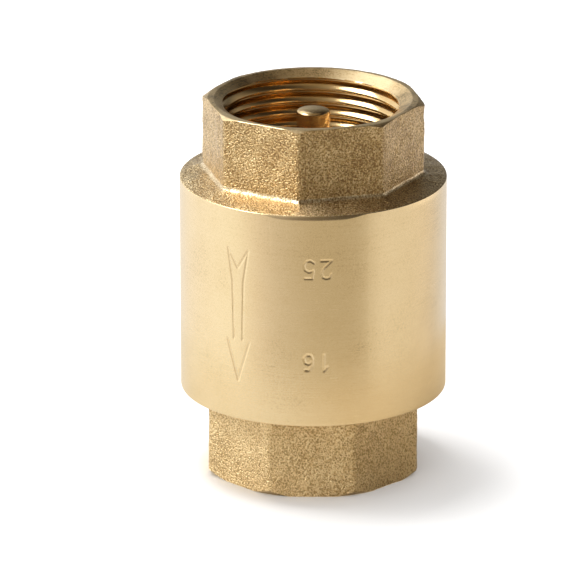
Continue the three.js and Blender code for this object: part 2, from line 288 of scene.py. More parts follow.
def lathe(name, profile, radii, material=None, columns=ROUND_COLUMNS):
    """A turned piece from a closed anticlockwise (radius, height) profile, capped where it meets the axis."""
    shell = Shell()
    rows = rounded(profile, radii)
    shell.rings(around(columns), [row for row in rows if row[0] > 0], 0)
    if profile[0][0] == 0:
        shell.cap(shell.first, 0, flip=True)
        shell.cap(shell.last, 0)
    else:
        shell.close(0)
    return shell.build(name, [material] if material else [])


def ring_profile(inner, outer, low, high):
    return [(inner, low), (outer, low), (outer, high), (inner, high)]


# ---- Shapes round the axis ----

def octagon(angles, flats, turn):
    """Radius of an octagon with rounded corners at each angle."""
    half = math.pi / 8
    delta = np.abs(np.mod(angles - turn, 2 * half) - half)  # zero at a corner
    centre = (flats / 2 - CORNER_RADIUS) / math.cos(half)
    flat = (flats / 2) / np.cos(half - delta)
    limit = math.atan2(CORNER_RADIUS * math.sin(half), centre + CORNER_RADIUS * math.cos(half))
    inside = np.clip(CORNER_RADIUS**2 - (centre * np.sin(delta)) ** 2, 0, None)
    arc = centre * np.cos(delta) + np.sqrt(inside)
    return np.where(delta < limit, arc, flat)


def octagon_angles(turn, per_corner=16, per_flat=32):
    """Angles that are dense at the eight corners."""
    half = math.pi / 8
    near = math.radians(1.6)
    out = []
    for k in range(8):
        corner = turn + (2 * k + 1) * half
        out.extend(corner + np.linspace(-near, near, per_corner, endpoint=False))
        out.extend(np.linspace(corner + near, corner + 2 * half - near, per_flat, endpoint=False))
    return np.sort(np.mod(out, TAU))


def octagon_side(angles, root, start, end_face, rim, slope):
    """The forged flats from start to the turned chamfer, then the chamfer to the end face.

    Gives rows of (radius, height, material)."""
    towards = math.copysign(1, end_face - start)
    least = 0.07  # the edge is broken by at least this much
    cut = np.maximum(least, forged_wall(root, angles, end_face) - rim)
    stop = end_face - towards * np.maximum(least, cut * slope)
    rows = []
    for t in np.linspace(0, 1, 32)[1:]:
        height = start + (stop - start) * t
        rows.append((forged_wall(root, angles, height), height, FORGED_SKIN))
    top = forged_wall(root, angles, stop)
    for t in (0.04, 0.5, 0.97, 1):
        rows.append((top - cut * t, stop + (end_face - stop) * min(1, t * 1.02), MACHINED_SKIN))
    return rows


def window(value, inner, outer):
    """1 up to inner, falling smoothly to 0 at outer."""
    t = np.clip((outer - np.abs(value)) / (outer - inner), 0, 1)
    return t * t * (3 - 2 * t)


def azimuth(angles):
    """Angle from the viewer's side, positive to the viewer's right, in degrees."""
    return (np.degrees(angles) + 90 + 180) % 360 - 180


# The thread's section: shares of a pitch from a crest towards the socket's opening, and shares of the depth.
THREAD_PHASE = 0.645
THREAD_SECTION = [
    (0.0, 0.0), (0.06, 0.0), (0.11, 0.025), (0.16, 0.08), (0.28, 0.24), (0.40, 0.44), (0.50, 0.66),
    (0.58, 0.95), (0.62, 1.0), (0.68, 1.0), (0.72, 0.90), (0.92, 0.08), (0.95, 0.0), (1.0, 0.0),
]


def cone_radius(height, end_face):
    """Radius of the countersink at a height."""
    return SINK_RADIUS - np.abs(end_face - height) * (SINK_RADIUS - THREAD_MINOR) / SINK_DEPTH


def thread_radius(angles, height, end_face, inwards):
    """Radius of a tapped wall with a right-hand thread, cut back by the countersink at the end face.

    Inwards is the sign of Z on the way into the socket."""
    share = np.mod((height - end_face) / PITCH - angles / TAU + THREAD_PHASE, 1)
    share = share if inwards < 0 else 1 - share
    wall = THREAD_MINOR + (THREAD_MAJOR - THREAD_MINOR) * np.interp(share, *zip(*THREAD_SECTION))
    return np.maximum(wall, cone_radius(height, end_face))


def tap(shell, stop, end_face, inwards):
    """The threaded wall and its countersink, from the shell's last ring to the height `stop`."""
    shell.coil(around(COIL_COLUMNS), stop,
               lambda angles, height: thread_radius(angles, height, end_face, inwards),
               lambda height: cone_radius(height, end_face))


def relief_rows(end_face, inwards):
    """The plain groove behind the thread, as (radius, height) going in."""
    return [(RELIEF_RADIUS, end_face + inwards * (THREAD_STOP + 0.05)),
            (RELIEF_RADIUS, end_face + inwards * (SOCKET_DEPTH - 0.15)),
            (RELIEF_RADIUS - 0.12, end_face + inwards * SOCKET_DEPTH)]


# ---- Engraving on the barrel: strokes in the unrolled plane, (millimetres round the barrel, height) ----

GROOVE_WIDTH, GROOVE_DEPTH = 0.34, 0.11
GROOVE_WALL = 0.16  # over which a groove falls from nothing to its depth


def engraved_depth(along, height):
    """Depth of the grooves at a place on the barrel."""
    total = np.zeros(along.shape)
    for (x0, z0), (x1, z1) in ENGRAVING:
        dx, dz = x1 - x0, z1 - z0
        t = np.clip(((along - x0) * dx + (height - z0) * dz) / (dx * dx + dz * dz), 0, 1)
        distance = np.hypot(along - x0 - t * dx, height - z0 - t * dz)
        groove = np.clip((GROOVE_WIDTH / 2 + 0.07 - distance) / GROOVE_WALL, 0, 1)
        total = np.maximum(total, groove * groove * (3 - 2 * groove))
    return total * GROOVE_DEPTH


def polyline(points):
    return list(zip(points[:-1], points[1:]))


def flow_arrow():
    """A long arrow that points down the barrel, with a notched tail and a wide head."""
    x, top, bottom = -14.05, 46.9, 22.5
    tail = polyline([(x - 1.15, 40.9), (x - 2.15, top), (x, 43.4), (x + 2.15, top), (x + 1.15, 40.9)])
    shaft = [((x - 1.15, 40.9), (x - 0.9, 30.2)), ((x + 1.15, 40.9), (x + 0.9, 30.2))]
    head = polyline([(x - 2.3, 29.8), (x, bottom), (x + 2.3, 29.8)])
    return tail + shaft + head


# The strokes of each figure, in a square of side 1.
FIGURES = {
    "1": [(0.5, 0.0), (0.5, 1.0), (0.2, 0.75)],
    "2": [(0.05, 0.75), (0.2, 0.96), (0.5, 1.0), (0.8, 0.92), (0.9, 0.7), (0.75, 0.45), (0.0, 0.0),
          (0.95, 0.0)],
    "5": [(0.85, 1.0), (0.2, 1.0), (0.1, 0.55), (0.5, 0.64), (0.85, 0.5), (0.92, 0.25), (0.7, 0.03),
          (0.35, 0.0), (0.05, 0.12)],
    "6": [(0.8, 0.95), (0.45, 0.95), (0.15, 0.65), (0.08, 0.3), (0.25, 0.03), (0.65, 0.0), (0.92, 0.22),
          (0.8, 0.5), (0.45, 0.57), (0.12, 0.4)],
}


def number(text, left, base, size):
    """Plain figures, turned half round so that they read from the other end of the valve."""
    strokes = []
    for k, figure in enumerate(reversed(text)):
        right = left + (k + 1) * size * 0.62 + k * size * 0.3
        strokes += polyline([(right - x * size * 0.62, base + (1 - z) * size) for x, z in FIGURES[figure]])
    return strokes


ENGRAVING = flow_arrow() + number("25", -1.8, 42.8, 3.3) + number("16", -1.8, 25.6, 3.0)


# ---- Materials ----

class Nodes:
    """A short way to write a node tree."""

    def __init__(self, tree):
        self.tree = tree

    def add(self, kind, **settings):
        node = self.tree.nodes.new(kind)
        inputs = settings.pop("inputs", {})
        for key, value in settings.items():
            setattr(node, key, value)
        for key, value in inputs.items():
            socket = node.inputs[key]
            if isinstance(value, bpy.types.NodeSocket):
                self.tree.links.new(value, socket)
            else:
                socket.default_value = value
        return node

    def math(self, operation, a, b=0.0, c=0.0):
        return self.add("ShaderNodeMath", operation=operation, inputs={0: a, 1: b, 2: c}).outputs[0]

    def ramp(self, factor, stops):
        node = self.add("ShaderNodeValToRGB", inputs={0: factor})
        elements = node.color_ramp.elements
        while len(elements) > 1:
            elements.remove(elements[-1])
        elements[0].position, elements[0].color = stops[0][0], (*stops[0][1], 1)
        for position, colour in stops[1:]:
            elements.new(position).color = (*colour, 1)
        return node.outputs[0]

    def bump(self, strength, distance, height):
        settings = {"Strength": strength, "Distance": distance, "Height": height}
        return self.add("ShaderNodeBump", inputs=settings).outputs[0]


def new_material(name):
    material = bpy.data.materials.new(name)
    material.use_nodes = True
    material.node_tree.nodes.clear()
    return material, Nodes(material.node_tree)


def finish_material(n, **inputs):
    shader = n.add("ShaderNodeBsdfPrincipled", inputs=inputs)
    n.add("ShaderNodeOutputMaterial", inputs={"Surface": shader.outputs[0]})


def object_point(n, scale=(1, 1, 1)):
    where = n.add("ShaderNodeTexCoord").outputs["Object"]
    return n.add("ShaderNodeMapping", inputs={"Vector": where, "Scale": scale}).outputs[0]


def noise(n, where, scale, detail, rough):
    settings = {"Vector": where, "Scale": scale, "Detail": detail, "Roughness": rough}
    return n.add("ShaderNodeTexNoise", inputs=settings).outputs["Fac"]


def forged_brass(name, pit, middle, peak, grain_height):
    """Shot-blasted forging: a fine pebbled grain, with paler peaks and browner pits."""
    material, n = new_material(name)
    where = object_point(n)
    grain = noise(n, where, 3300, 2, 0.5)
    broad = noise(n, where, 160, 3, 0.5)
    bump = n.bump(1.0, grain_height, grain)
    tone = n.math("MULTIPLY_ADD", broad, 0.25, grain)
    colour = n.ramp(tone, [(0.48, pit), (0.62, middle), (0.76, peak)])
    rough = n.math("MULTIPLY_ADD", broad, 0.12, 0.25)
    finish_material(n, **{"Base Color": colour, "Metallic": 1.0, "Roughness": rough, "Normal": bump})
    return material


def turned_brass(name, pale, deep, roughness, line_height, wear=0.0, anisotropic=0.0):
    """Lathe-turned brass: rings of fine lines round the axis, stains, scratches and tiny pits."""
    material, n = new_material(name)
    where = object_point(n)
    lines = noise(n, object_point(n, (60, 60, 9000)), 1.0, 4, 0.7)
    coarse = noise(n, object_point(n, (120, 120, 2600)), 1.0, 3, 0.6)
    specks = noise(n, where, 3200, 2, 0.6)
    stains = noise(n, where, 110, 5, 0.65)
    scratch = n.math("GREATER_THAN", noise(n, object_point(n, (2600, 2600, 130)), 1.0, 2, 0.5), 0.71)
    cells = n.add("ShaderNodeTexVoronoi", inputs={"Vector": where, "Scale": 420}).outputs["Distance"]
    pit = n.math("LESS_THAN", cells, 0.06)
    height = n.math("MULTIPLY_ADD", coarse, 0.5, lines)
    height = n.math("MULTIPLY_ADD", specks, 0.5, height)
    height = n.math("MULTIPLY_ADD", n.math("ADD", pit, scratch), -0.8, height)
    bump = n.bump(0.5, line_height, height)
    tone = n.math("MULTIPLY_ADD", lines, 0.3, -0.38 * wear)
    tone = n.math("MULTIPLY_ADD", stains, 0.5 + 0.7 * wear, tone)
    tone = n.math("MULTIPLY_ADD", coarse, 0.15, tone)
    tone = n.math("MULTIPLY_ADD", specks, 0.55, tone)
    dark = tuple(c * (0.80 - 0.45 * wear) for c in deep)
    colour = n.ramp(tone, [(0.50, dark), (0.66, deep), (0.84, pale)])
    spread, base = 0.08 + 0.1 * wear, roughness - 0.07 - 0.05 * wear
    rough = n.math("MULTIPLY_ADD", n.math("ADD", lines, stains), spread, base)
    tangent = n.add("ShaderNodeTangent", direction_type="RADIAL", axis="Z").outputs[0]
    finish_material(n, **{"Base Color": colour, "Metallic": 1.0, "Roughness": rough, "Normal": bump,
                          "Anisotropic": anisotropic, "Tangent": tangent})
    return material


def plain_brass(name, colour, roughness):
    """Cut brass with small marks and stains but no lathe lines."""
    material, n = new_material(name)
    where = object_point(n)
    marks = noise(n, where, 2500, 3, 0.6)
    stains = noise(n, where, 220, 3, 0.6)
    tint = n.ramp(stains, [(0.3, tuple(c * 0.82 for c in colour)), (0.65, colour)])
    rough = n.math("MULTIPLY_ADD", marks, 0.12, roughness - 0.06)
    finish_material(n, **{"Base Color": tint, "Metallic": 1.0, "Roughness": rough,
                          "Normal": n.bump(0.25, 0.00003, marks)})
    return material


def nitrile():
    """Matt black rubber with a faint bloom."""
    material, n = new_material("nitrile")
    where = object_point(n)
    grain = noise(n, where, 5000, 3, 0.6)
    bloom = noise(n, where, 300, 3, 0.6)
    colour = n.ramp(bloom, [(0.3, (0.012, 0.012, 0.013)), (0.75, (0.032, 0.031, 0.030))])
    rough = n.math("MULTIPLY_ADD", bloom, 0.2, 0.5)
    finish_material(n, **{"Base Color": colour, "Roughness": rough, "Normal": n.bump(0.3, 0.00003, grain)})
    return material


def stainless_steel():
    """Drawn stainless steel."""
    material, n = new_material("spring_wire")
    drawn = noise(n, object_point(n), 4500, 3, 0.6)
    colour = n.ramp(drawn, [(0.3, (0.42, 0.41, 0.40)), (0.7, (0.60, 0.59, 0.58))])
    rough = n.math("MULTIPLY_ADD", drawn, 0.15, 0.2)
    finish_material(n, **{"Base Color": colour, "Metallic": 1.0, "Roughness": rough,
                          "Normal": n.bump(0.2, 0.00002, drawn)})
    return material


def acetal():
    """Off-white plastic, turned."""
    material, n = new_material("acetal")
    turned = noise(n, object_point(n, (80, 80, 6000)), 1.0, 2, 0.5)
    cloud = noise(n, object_point(n), 400, 2, 0.5)
    colour = n.ramp(cloud, [(0.3, (0.72, 0.70, 0.64)), (0.7, (0.80, 0.79, 0.74))])
    rough = n.math("MULTIPLY_ADD", turned, 0.15, 0.35)
    finish_material(n, **{"Base Color": colour, "Roughness": rough, "Normal": n.bump(0.2, 0.00002, turned),
                          "Subsurface Weight": 0.1, "Subsurface Radius": (0.001, 0.001, 0.0008)})
    return material


# Forgings: colours of the pits, the middle and the peaks, then the height of the grain in metres.
FORGED = forged_brass("forged_brass", (0.33, 0.205, 0.09), (0.575, 0.39, 0.176), (0.874, 0.665, 0.37),
                      0.00037)
# The shoulder's copy of the forging is paler and less orange: painted light, for the key light's whiter glare
# on it.
FORGED_SHOULDER_PAINTED_LIGHT = forged_brass("forged_shoulder_painted_light", (0.32, 0.205, 0.095), (0.61, 0.445, 0.225),
                               (0.93, 0.765, 0.49), 0.00028)
# The fillet's copy is paler still: a painted highlight, the bright strip along the octagon's foot.
FORGED_FILLET_PAINTED_HIGHLIGHT = forged_brass("forged_fillet_painted_highlight", (0.40, 0.27, 0.14), (0.72, 0.56, 0.33), (0.97, 0.84, 0.60),
                             0.00016)
# The end connector's copy is paler and brighter: painted light, for the floor's light bounced onto the lower
# octagon.
FORGED_LOWER_PAINTED_LIGHT = forged_brass("forged_lower_painted_light", (0.49, 0.325, 0.15), (0.81, 0.585, 0.295), (1.0, 0.79, 0.46),
                            0.00038)
BARREL = turned_brass("barrel_brass", (0.89, 0.70, 0.42), (0.85, 0.655, 0.375), 0.24, 0.000014,
                      anisotropic=0.4)
MACHINED = turned_brass("machined_brass", (0.88, 0.70, 0.42), (0.74, 0.54, 0.28), 0.28, 0.00003, wear=0.8)
THREAD = plain_brass("thread_brass", (0.84, 0.60, 0.30), 0.16)
# The stem's copy of turned brass is darker: painted shade, for the stem standing down in the dark socket.
STEM = turned_brass("stem_brass_painted_shade", (0.80, 0.61, 0.35), (0.64, 0.45, 0.22), 0.17, 0.00001)
TURNED = turned_brass("turned_brass", (0.84, 0.66, 0.40), (0.74, 0.55, 0.30), 0.24, 0.00001)
NITRILE = nitrile()
STEEL = stainless_steel()
ACETAL = acetal()


# ---- Body and end connector ----

SHOULDER_FOOT = BARREL_HIGH + 0.03
OCTAGON_FOOT = SHOULDER_FOOT + 1.0
FILLET = 0.75  # radius of the fillet at the octagon's foot


def barrel_angles():
    """Dense round the engraving, coarse elsewhere."""
    low, high = math.radians(-90 - 43), math.radians(-90 + 24)
    dense = np.arange(low, high, 0.14 / BARREL_RADIUS)
    coarse = np.linspace(high, low + TAU, 84, endpoint=False)
    return np.sort(np.mod(np.concatenate([dense, coarse]), TAU))


def barrel_rows(along):
    """The engraved wall, as (radius, height), with dense rows where the figures and the arrow's ends are."""
    fine, coarse = 0.18, 0.7
    heights = [15.8, 17.5, 19.5, 21.3, *np.arange(22.0, 30.4, fine), *np.arange(30.4, 40.6, coarse),
               *np.arange(40.6, 47.6, fine), 48.2, 50.0, 51.6, 52.8]
    return [(BARREL_RADIUS - engraved_depth(along, height), height) for height in heights]


def foot_rows():
    """The barrel's lower end face and its rounded edge, as (radius, height)."""
    edge = 0.22
    rounding = [(BARREL_RADIUS - edge * (1 - math.sin(t)), BARREL_LOW + edge * (1 - math.cos(t)))
                for t in (0, 0.4, 0.8, 1.2, math.pi / 2)]
    return [(JOINT_BORE + 0.25, BARREL_LOW), (JOINT_BORE + 1, BARREL_LOW), *rounding]


def broad_edge(side):
    """1 where the barrel's top edge is broad, which is towards the viewer, and 0 elsewhere."""
    return window(side, 13, 25)


def edge_inset(side):
    """How far the barrel's top edge leans in."""
    return 0.07 + 0.25 * broad_edge(side)


def edge_rows(side):
    """The barrel's broken top edge, as (radius, height)."""
    inset, drop = edge_inset(side), 0.08 + 0.78 * broad_edge(side)
    return [(BARREL_RADIUS - inset * t * t, BARREL_HIGH - drop * (1 - t))
            for t in (0, 0.1, 0.25, 0.4, 0.55, 0.7, 0.85, 1)]


def shoulder_rows(angles, rim, inner):
    """The forged shoulder from the barrel's edge in to the fillet, as (radius, height)."""
    for t in np.linspace(0, 1, 14):
        radius = rim + (inner - rim) * t
        height = SHOULDER_FOOT + (OCTAGON_FOOT - SHOULDER_FOOT) * t
        yield radius, height + forged_rise(radius, angles, height) * min(1, 4 * t)


def fillet_rows(angles, root):
    """The fillet from the shoulder up to the octagon's flats, as (radius, height)."""
    for turn in np.linspace(0.15, 1, 7) * math.pi / 2:
        radius = root + FILLET * (1 - math.sin(turn))
        height = OCTAGON_FOOT + FILLET * (1 - math.cos(turn))
        yield forged_wall(radius, angles, height), height


def passage():
    """The body's bore from the inlet's guide pocket down to the joint with the end connector."""
    shelf = LENGTH - SOCKET_DEPTH
    ledge = shelf - 3
    corner = 1.4
    profile = [
        (RELIEF_RADIUS - RELIEF_STEP, shelf), (GUIDE_POCKET_RADIUS, shelf), (GUIDE_POCKET_RADIUS, ledge),
        (THROAT_RADIUS, ledge), (THROAT_RADIUS, SEAT_FACE), (SEAT_LIP_RADIUS, SEAT_FACE),
        (SEAT_LIP_RADIUS + 0.8, CHAMBER_CEILING), (CHAMBER_RADIUS - corner, CHAMBER_CEILING),
        (CHAMBER_RADIUS, CHAMBER_CEILING - corner), (CHAMBER_RADIUS, CHAMBER_FLOOR),
        (JOINT_BORE, CHAMBER_FLOOR), (JOINT_BORE, 24.0), (JOINT_BORE + 0.2, 23.8),
        (JOINT_BORE + 0.2, BARREL_LOW + 0.2),
    ]
    return rounded(profile, [0, 0.15, 0.1, 0.1, 0.2, 0.2, 0.3, 0.6, 0.6, 0.2, 0.1, 0.1, 0.1, 0])


def build_body():
    shell = Shell()
    angles = barrel_angles()
    side = azimuth(angles)
    along = np.radians(side) * BARREL_RADIUS
    shell.rings(angles, foot_rows() + barrel_rows(along) + edge_rows(side), BARREL_SKIN)

    angles = octagon_angles(INLET_TURN)
    side = azimuth(angles)
    root = octagon(angles, INLET_FLATS, INLET_TURN)
    shoulder_rim = BARREL_RADIUS - 0.04 - edge_inset(side)  # a hair inside the barrel's edge
    # The shoulder takes the paler copy of the forging, which is painted light.
    shell.rings(angles, shoulder_rows(angles, shoulder_rim, root + FILLET), SHOULDER_PAINTED_LIGHT_SKIN)
    # The fillet takes the palest copy of the forging, which is a painted highlight.
    shell.rings(angles, fillet_rows(angles, root), FILLET_PAINTED_HIGHLIGHT_SKIN)
    chamfer_rim = INLET_RIM + CHAMFER_OFFSET * np.cos(np.radians(side - CHAMFER_SIDE))
    flats = octagon_side(angles, root, OCTAGON_FOOT + FILLET, LENGTH, chamfer_rim, INLET_SLOPE)
    for radius, height, material in flats:
        shell.rings(angles, [(radius, height)], material)
    shell.rings(angles, [(radius, LENGTH) for radius in reversed(FACE_RADII)], MACHINED_SKIN)

    angles = around(COIL_COLUMNS)
    shell.rings(angles, [(SINK_RADIUS, LENGTH)], MACHINED_SKIN)
    tap(shell, LENGTH - THREAD_STOP, LENGTH, -1)
    shell.rings(angles, relief_rows(LENGTH, -1), MACHINED_SKIN)
    shell.rings(around(ROUND_COLUMNS), passage(), MACHINED_SKIN)
    shell.close(MACHINED_SKIN)
    return shell.build("body_forging", [FORGED, BARREL, MACHINED, THREAD, FORGED_FILLET_PAINTED_HIGHLIGHT, FORGED_SHOULDER_PAINTED_LIGHT])


def shank():
    """The end connector's turned part above the octagon, with the O-ring's groove, and the bore inside it."""
    radius, collar, groove, bore, passage_radius = 21.5, 21.3, 19.5, 17.6, 14.2
    foot, chamfer = CONNECTOR_OCTAGON_TOP, 0.6
    outside = rounded(
        [(20.3, foot), (radius - chamfer, foot), (radius, foot + chamfer), (radius, 23.2), (collar, 23.2),
         (collar, 23.9), (groove, 23.9), (groove, 26.0), (collar, 26.0), (collar, CONNECTOR_TOP),
         (bore, CONNECTOR_TOP)],
        [0, 0.1, 0.1, 0.1, 0.1, 0.1, 0.15, 0.15, 0.1, 0.2, 0])
    inside = rounded(
        [(bore, CONNECTOR_TOP), (bore, 22.6), (passage_radius, 17.2), (passage_radius, SOCKET_DEPTH),
         (RELIEF_RADIUS - RELIEF_STEP, SOCKET_DEPTH)],
        [0, 0.6, 0.6, 0.15, 0])
    return outside + inside[1:]


def build_end_connector():
    shell = Shell()
    angles = octagon_angles(OUTLET_TURN)
    root = octagon(angles, OUTLET_FLATS, OUTLET_TURN)
    shell.rings(angles, [(radius, 0.0) for radius in FACE_RADII], MACHINED_SKIN)
    flats = octagon_side(angles, root, CONNECTOR_OCTAGON_TOP, 0.0, OUTLET_RIM, OUTLET_SLOPE)
    for radius, height, material in reversed(flats):
        shell.rings(angles, [(radius, height)], material)
    shell.rings(angles, [(root, CONNECTOR_OCTAGON_TOP)], FORGED_SKIN)
    shell.rings(around(ROUND_COLUMNS), shank(), MACHINED_SKIN)
    angles = around(COIL_COLUMNS)
    shell.rings(angles, reversed(relief_rows(0.0, 1)), MACHINED_SKIN)
    shell.rings(angles, [(thread_radius(angles, THREAD_STOP, 0.0, 1), THREAD_STOP)], MACHINED_SKIN)
    tap(shell, 0.0, 0.0, 1)
    shell.close(MACHINED_SKIN)
    return shell.build("outlet_connector", [FORGED_LOWER_PAINTED_LIGHT, BARREL, MACHINED, THREAD])


# ---- Pieces inside ----

INLET_HUB, OUTLET_HUB = (52.0, 58.6), (21.5, 30.6)  # from bottom to top
# A guide's arm, as (radius, height).
INLET_ARM = [(4.6, 51.4), (13.1, 51.4), (13.1, 53.2), (8.6, 53.2), (8.6, 55.2), (4.6, 55.2)]
OUTLET_ARM = [(4.6, 24.7), (17.2, 24.7), (17.2, 27.0), (18.8, 27.0), (18.8, 29.0), (4.6, 29.0)]


def span(node):
    """A CAD piece's lowest and highest place."""
    low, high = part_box(node)
    return low.z / MM, high.z / MM


def build_stem():
    """The stem, with its collar and the domed end that shows in the inlet."""
    low, high = span("stem")
    collar_low, collar_high, collar_radius = 49.8, 51.4, 5.0
    dome = [(STEM_RADIUS * math.cos(t), high - 0.75 * (1 - math.sin(t)))
            for t in np.linspace(0, math.pi / 2, 12, endpoint=False)]
    profile = [
        (0, low), (STEM_RADIUS - 0.6, low), (STEM_RADIUS, low + 0.6), (STEM_RADIUS, collar_low),
        (collar_radius, collar_low), (collar_radius, collar_high - 0.4), (collar_radius - 0.4, collar_high),
        (STEM_RADIUS, collar_high), *dome, (0, high),
    ]
    radii = [0, 0.1, 0.2, 0.05, 0.1, 0.2, 0.1, 0.15] + [0] * (len(dome) + 1)
    return lathe("poppet_stem", profile, radii, STEM)


def build_retainer():
    low, high = span("seal_retainer")
    profile = [(STACK_BORE, low), (10.6, low), (11.2, low + 0.5), (10.4, high), (STACK_BORE, high)]
    return lathe("retainer_plate", profile, [0, 0.1, 0.25, 0.2, 0.1], TURNED)


def build_seal():
    return lathe("seal_ring", ring_profile(STACK_BORE, 15.0, *span("disc_seal")), [0, 0.25, 0.25, 0], NITRILE)


def build_disc():
    """The disc, with a wall round the pocket that the seal lies in."""
    low, high = span("disc")
    radius, pocket_radius, pocket_floor, chamfer = 16.2, 15.2, high - 1.2, 1.6
    profile = [
        (STACK_BORE, low), (radius - chamfer, low), (radius, low + chamfer), (radius, high),
        (pocket_radius, high), (pocket_radius, pocket_floor), (STACK_BORE, pocket_floor),
    ]
    return lathe("poppet_disc", profile, [0, 0.3, 0.3, 0.2, 0.2, 0.1, 0], TURNED)


def build_washer(name, node, inner):
    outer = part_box(node)[1].x / MM
    return lathe(name, ring_profile(inner, outer, *span(node)), [0.1, 0.15, 0.15, 0.1], STEEL, 96)


def build_bush(name, hub, flange_up):
    """A plastic sleeve in a guide's hub, with a flange over one end of it."""
    low, high = hub
    outer, flange, lip = 4.0, 4.8, 0.7
    if flange_up:
        step = high + FACE_GAP
        profile = [(STACK_BORE, low), (outer, low), (outer, step), (flange, step), (flange, step + lip),
                   (STACK_BORE, step + lip)]
    else:
        step = low - FACE_GAP
        profile = [(STACK_BORE, step - lip), (flange, step - lip), (flange, step), (outer, step),
                   (outer, high), (STACK_BORE, high)]
    return lathe(name, profile, [0.15] * len(profile), ACETAL, 96)


def build_o_ring():
    low, high = span("body_o_ring")
    radius = (high - low) / 2
    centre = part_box("body_o_ring")[1].x / MM - radius
    profile = [(centre + radius * math.cos(t), low + radius + radius * math.sin(t)) for t in around(24)]
    return lathe("joint_o_ring", profile, [0] * len(profile), NITRILE, 192)


def swept(name, path, radius, material, sides=14):
    """A round wire along a path of points, capped at both ends."""
    tangent = np.gradient(path, axis=0)
    tangent /= np.linalg.norm(tangent, axis=1)[:, None]
    out = np.cross(tangent, (0, 0, 1))
    out /= np.linalg.norm(out, axis=1)[:, None]
    rise = np.cross(out, tangent)
    turn = around(sides)[None, :, None]
    points = path[:, None] + radius * (out[:, None] * np.cos(turn) + rise[:, None] * np.sin(turn))
    faces = []
    for start in range(0, (len(path) - 1) * sides, sides):
        for j in range(sides):
            k = (j + 1) % sides
            faces.append([start + k, start + j, start + sides + j, start + sides + k])
    last = (len(path) - 1) * sides
    faces += [list(range(sides)), [last + j for j in reversed(range(sides))]]
    return build_mesh(name, points.reshape(-1, 3), faces, [material], sharp=50)


def build_spring():
    """A conical spring with a closed turn at each end."""
    wire, turns, low_radius, high_radius = 0.4, 5.5, 8.7, 7.2
    low, high = span("spring")
    low, high = low + wire, high - wire
    closed = 2 * wire + 0.08
    pitch = (high - low - 2 * closed) / (turns - 2)
    turn = np.linspace(0, turns, int(turns * 64))
    radius = low_radius + (high_radius - low_radius) * turn / turns
    height = (low + np.minimum(turn, 1) * closed + np.clip(turn - 1, 0, turns - 2) * pitch
              + np.maximum(turn - (turns - 1), 0) * closed)
    path = np.stack([radius * np.cos(TAU * turn), radius * np.sin(TAU * turn), height], 1)
    return swept("closing_spring", path, wire, STEEL)


def arm(section, width, angle):
    """A guide's arm: an anticlockwise (radius, height) section of one width, at an angle round the axis."""
    count = len(section)
    points = [(r * math.cos(angle) - t * math.sin(angle), r * math.sin(angle) + t * math.cos(angle), z)
              for t in (-width / 2, width / 2) for r, z in section]
    sides = [((i + 1) % count, i, i + count, (i + 1) % count + count) for i in range(count)]
    return points, [list(range(count)), list(reversed(range(count, 2 * count)))] + sides


def united(name, parts, material, bevel=0.18):
    """The union of closed meshes as one object, with its edges broken."""
    base = parts[0]
    for other in parts[1:]:
        union = base.modifiers.new("union", "BOOLEAN")
        union.operation = "UNION"
        union.solver = "EXACT"
        union.object = other
    soft = base.modifiers.new("edges", "BEVEL")
    soft.width = bevel * MM
    soft.segments = 3
    soft.limit_method = "ANGLE"
    soft.angle_limit = math.radians(40)
    bpy.context.view_layer.update()
    graph = bpy.context.evaluated_depsgraph_get()
    mesh = bpy.data.meshes.new_from_object(base.evaluated_get(graph))
    for part in parts:
        bpy.data.objects.remove(part)
    clean = bmesh.new()
    clean.from_mesh(mesh)
    smallest = 2e-6  # metres
    bmesh.ops.remove_doubles(clean, verts=clean.verts, dist=smallest)
    bmesh.ops.dissolve_degenerate(clean, edges=clean.edges, dist=smallest)
    clean.to_mesh(mesh)
    clean.free()
    mesh.materials.clear()
    mesh.materials.append(material)
    mesh.polygons.foreach_set("use_smooth", np.ones(len(mesh.polygons), bool))
    mesh.set_sharp_from_angle(angle=math.radians(35))
    obj = bpy.data.objects.new(name, mesh)
    bpy.context.scene.collection.objects.link(obj)
    return obj


def build_guide(name, rim, hub, width, section):
    """A spider: a rim and a hub joined by three arms."""
    hub_radius = 5.2
    parts = [
        lathe(f"{name}_rim", rim, [0] * 4),
        lathe(f"{name}_hub", ring_profile(HUB_BORE, hub_radius, *hub), [0] * 4),
    ]
    for angle in around(3) + 0.5:
        points, faces = arm(section, width, angle)
        parts.append(build_mesh(f"{name}_arm", points, faces, []))
    return united(name, parts, TURNED)


def build_nut():
    """A hexagon nut, chamfered at both ends."""
    low, high = span("disc_nut")
    middle = (low + high) / 2
    half_flats, corner, face, mouth = 5.0, 5.62, 5.15, STACK_BORE + 0.25  # all by radius
    angles = around(180)
    half = math.pi / 6
    delta = np.mod(angles, 2 * half) - half
    hexagon = np.minimum(half_flats / np.cos(half - np.abs(delta)), corner)
    end = np.minimum(hexagon - 0.05, face)
    drop = np.maximum(0.05, (hexagon - face) * 0.55)
    shell = Shell()
    shell.rings(angles, [
        (STACK_BORE, low), (mouth, low), (end, low), (hexagon, low + drop), (hexagon, middle),
        (hexagon, high - drop), (end, high), (mouth, high), (STACK_BORE, high), (STACK_BORE, middle),
    ], 0)
    shell.close(0)
    return shell.build("stack_nut", [TURNED])


# ---- The valve: each piece in its CAD node's place ----

def add_piece(obj, node, body_name):
    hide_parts(node)
    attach(obj, body_name)
    return obj


